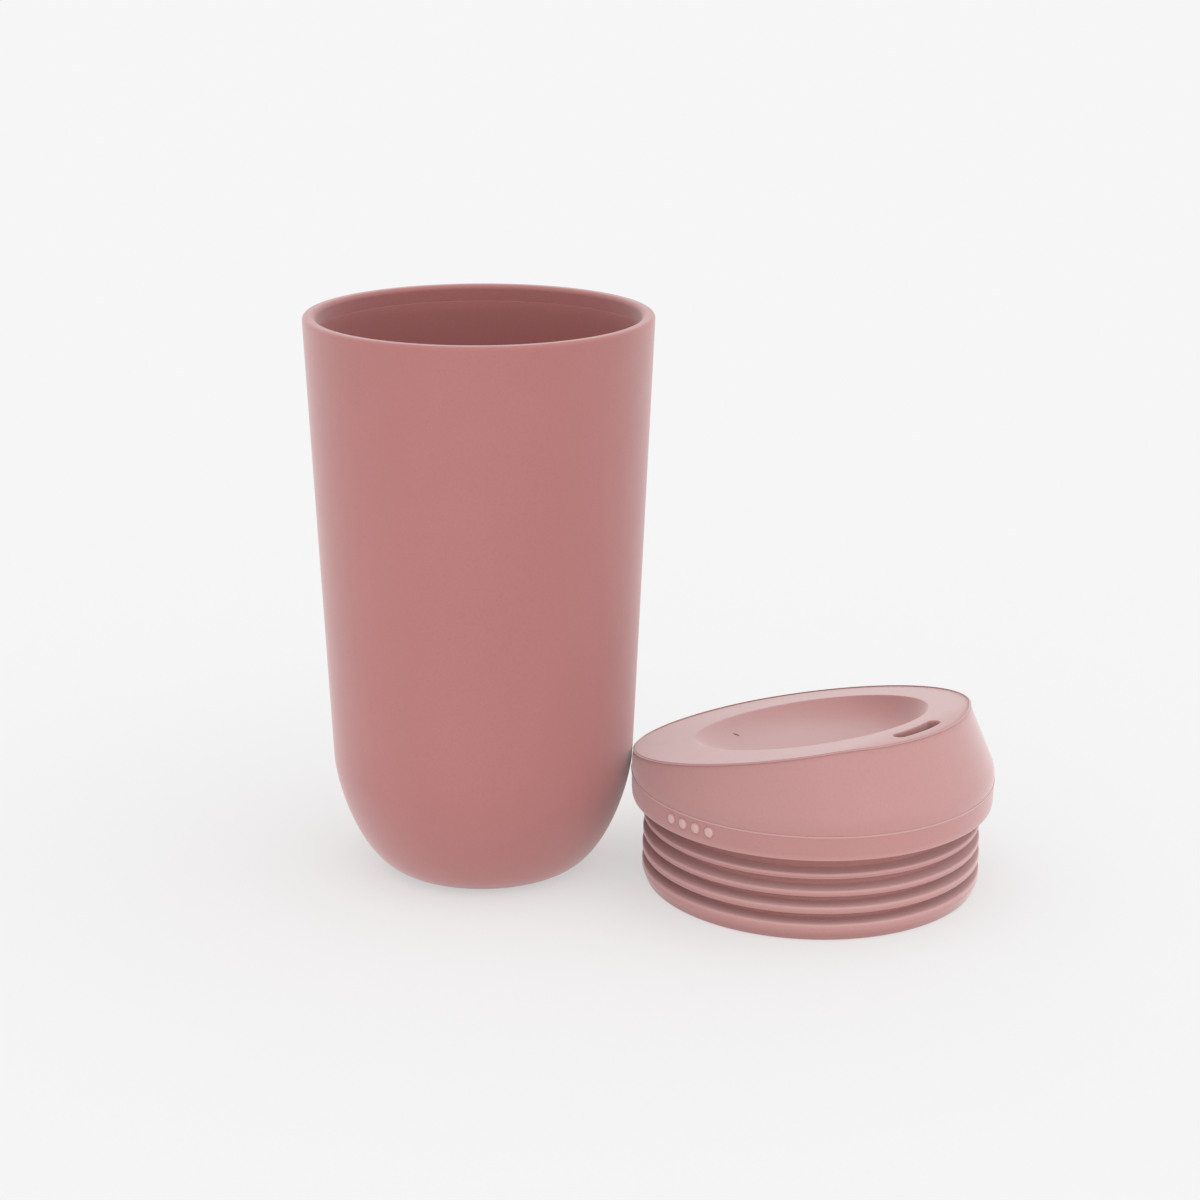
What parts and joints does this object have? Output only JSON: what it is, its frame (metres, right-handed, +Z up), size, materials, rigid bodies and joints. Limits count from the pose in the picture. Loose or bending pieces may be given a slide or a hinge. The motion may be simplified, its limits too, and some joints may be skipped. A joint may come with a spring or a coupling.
{
  "type": "travel cup with lid",
  "caption": "Double-walled reusable travel cup, rounded at the base, with a slanted drinking lid whose soft finned plug seals in the mouth.",
  "frame": {"origin": "centre of the cup's flat foot, on the surface the cup and the lid stand on", "axes": "+Z up along the cup's axis; +X towards the lid that stands beside the cup, which is also the longest way across the pair"},
  "size_m": [0.1701, 0.0985, 0.1405],
  "materials": {
    "cup_outer": "fine matt dusty pink moulded plastic",
    "cup_inner": "fine matt dusty pink moulded plastic",
    "lid_hard": "fine matt dusty pink moulded plastic",
    "lid_soft": "matt dusty pink silicone"
  },
  "bodies": {
    "cup": {"cup_outer_shell": "cup_outer", "cup_inner_liner": "cup_inner"},
    "lid": {"lid_cap": "lid_hard", "lid_plug": "lid_soft"}
  },
  "joints": [
    {"name": "lid_lift", "type": "slide", "parent": "cup", "child": "lid", "axis": [0.1721, -0.0228, 0.9848], "range_m": [0, 0.18]}
  ]
}
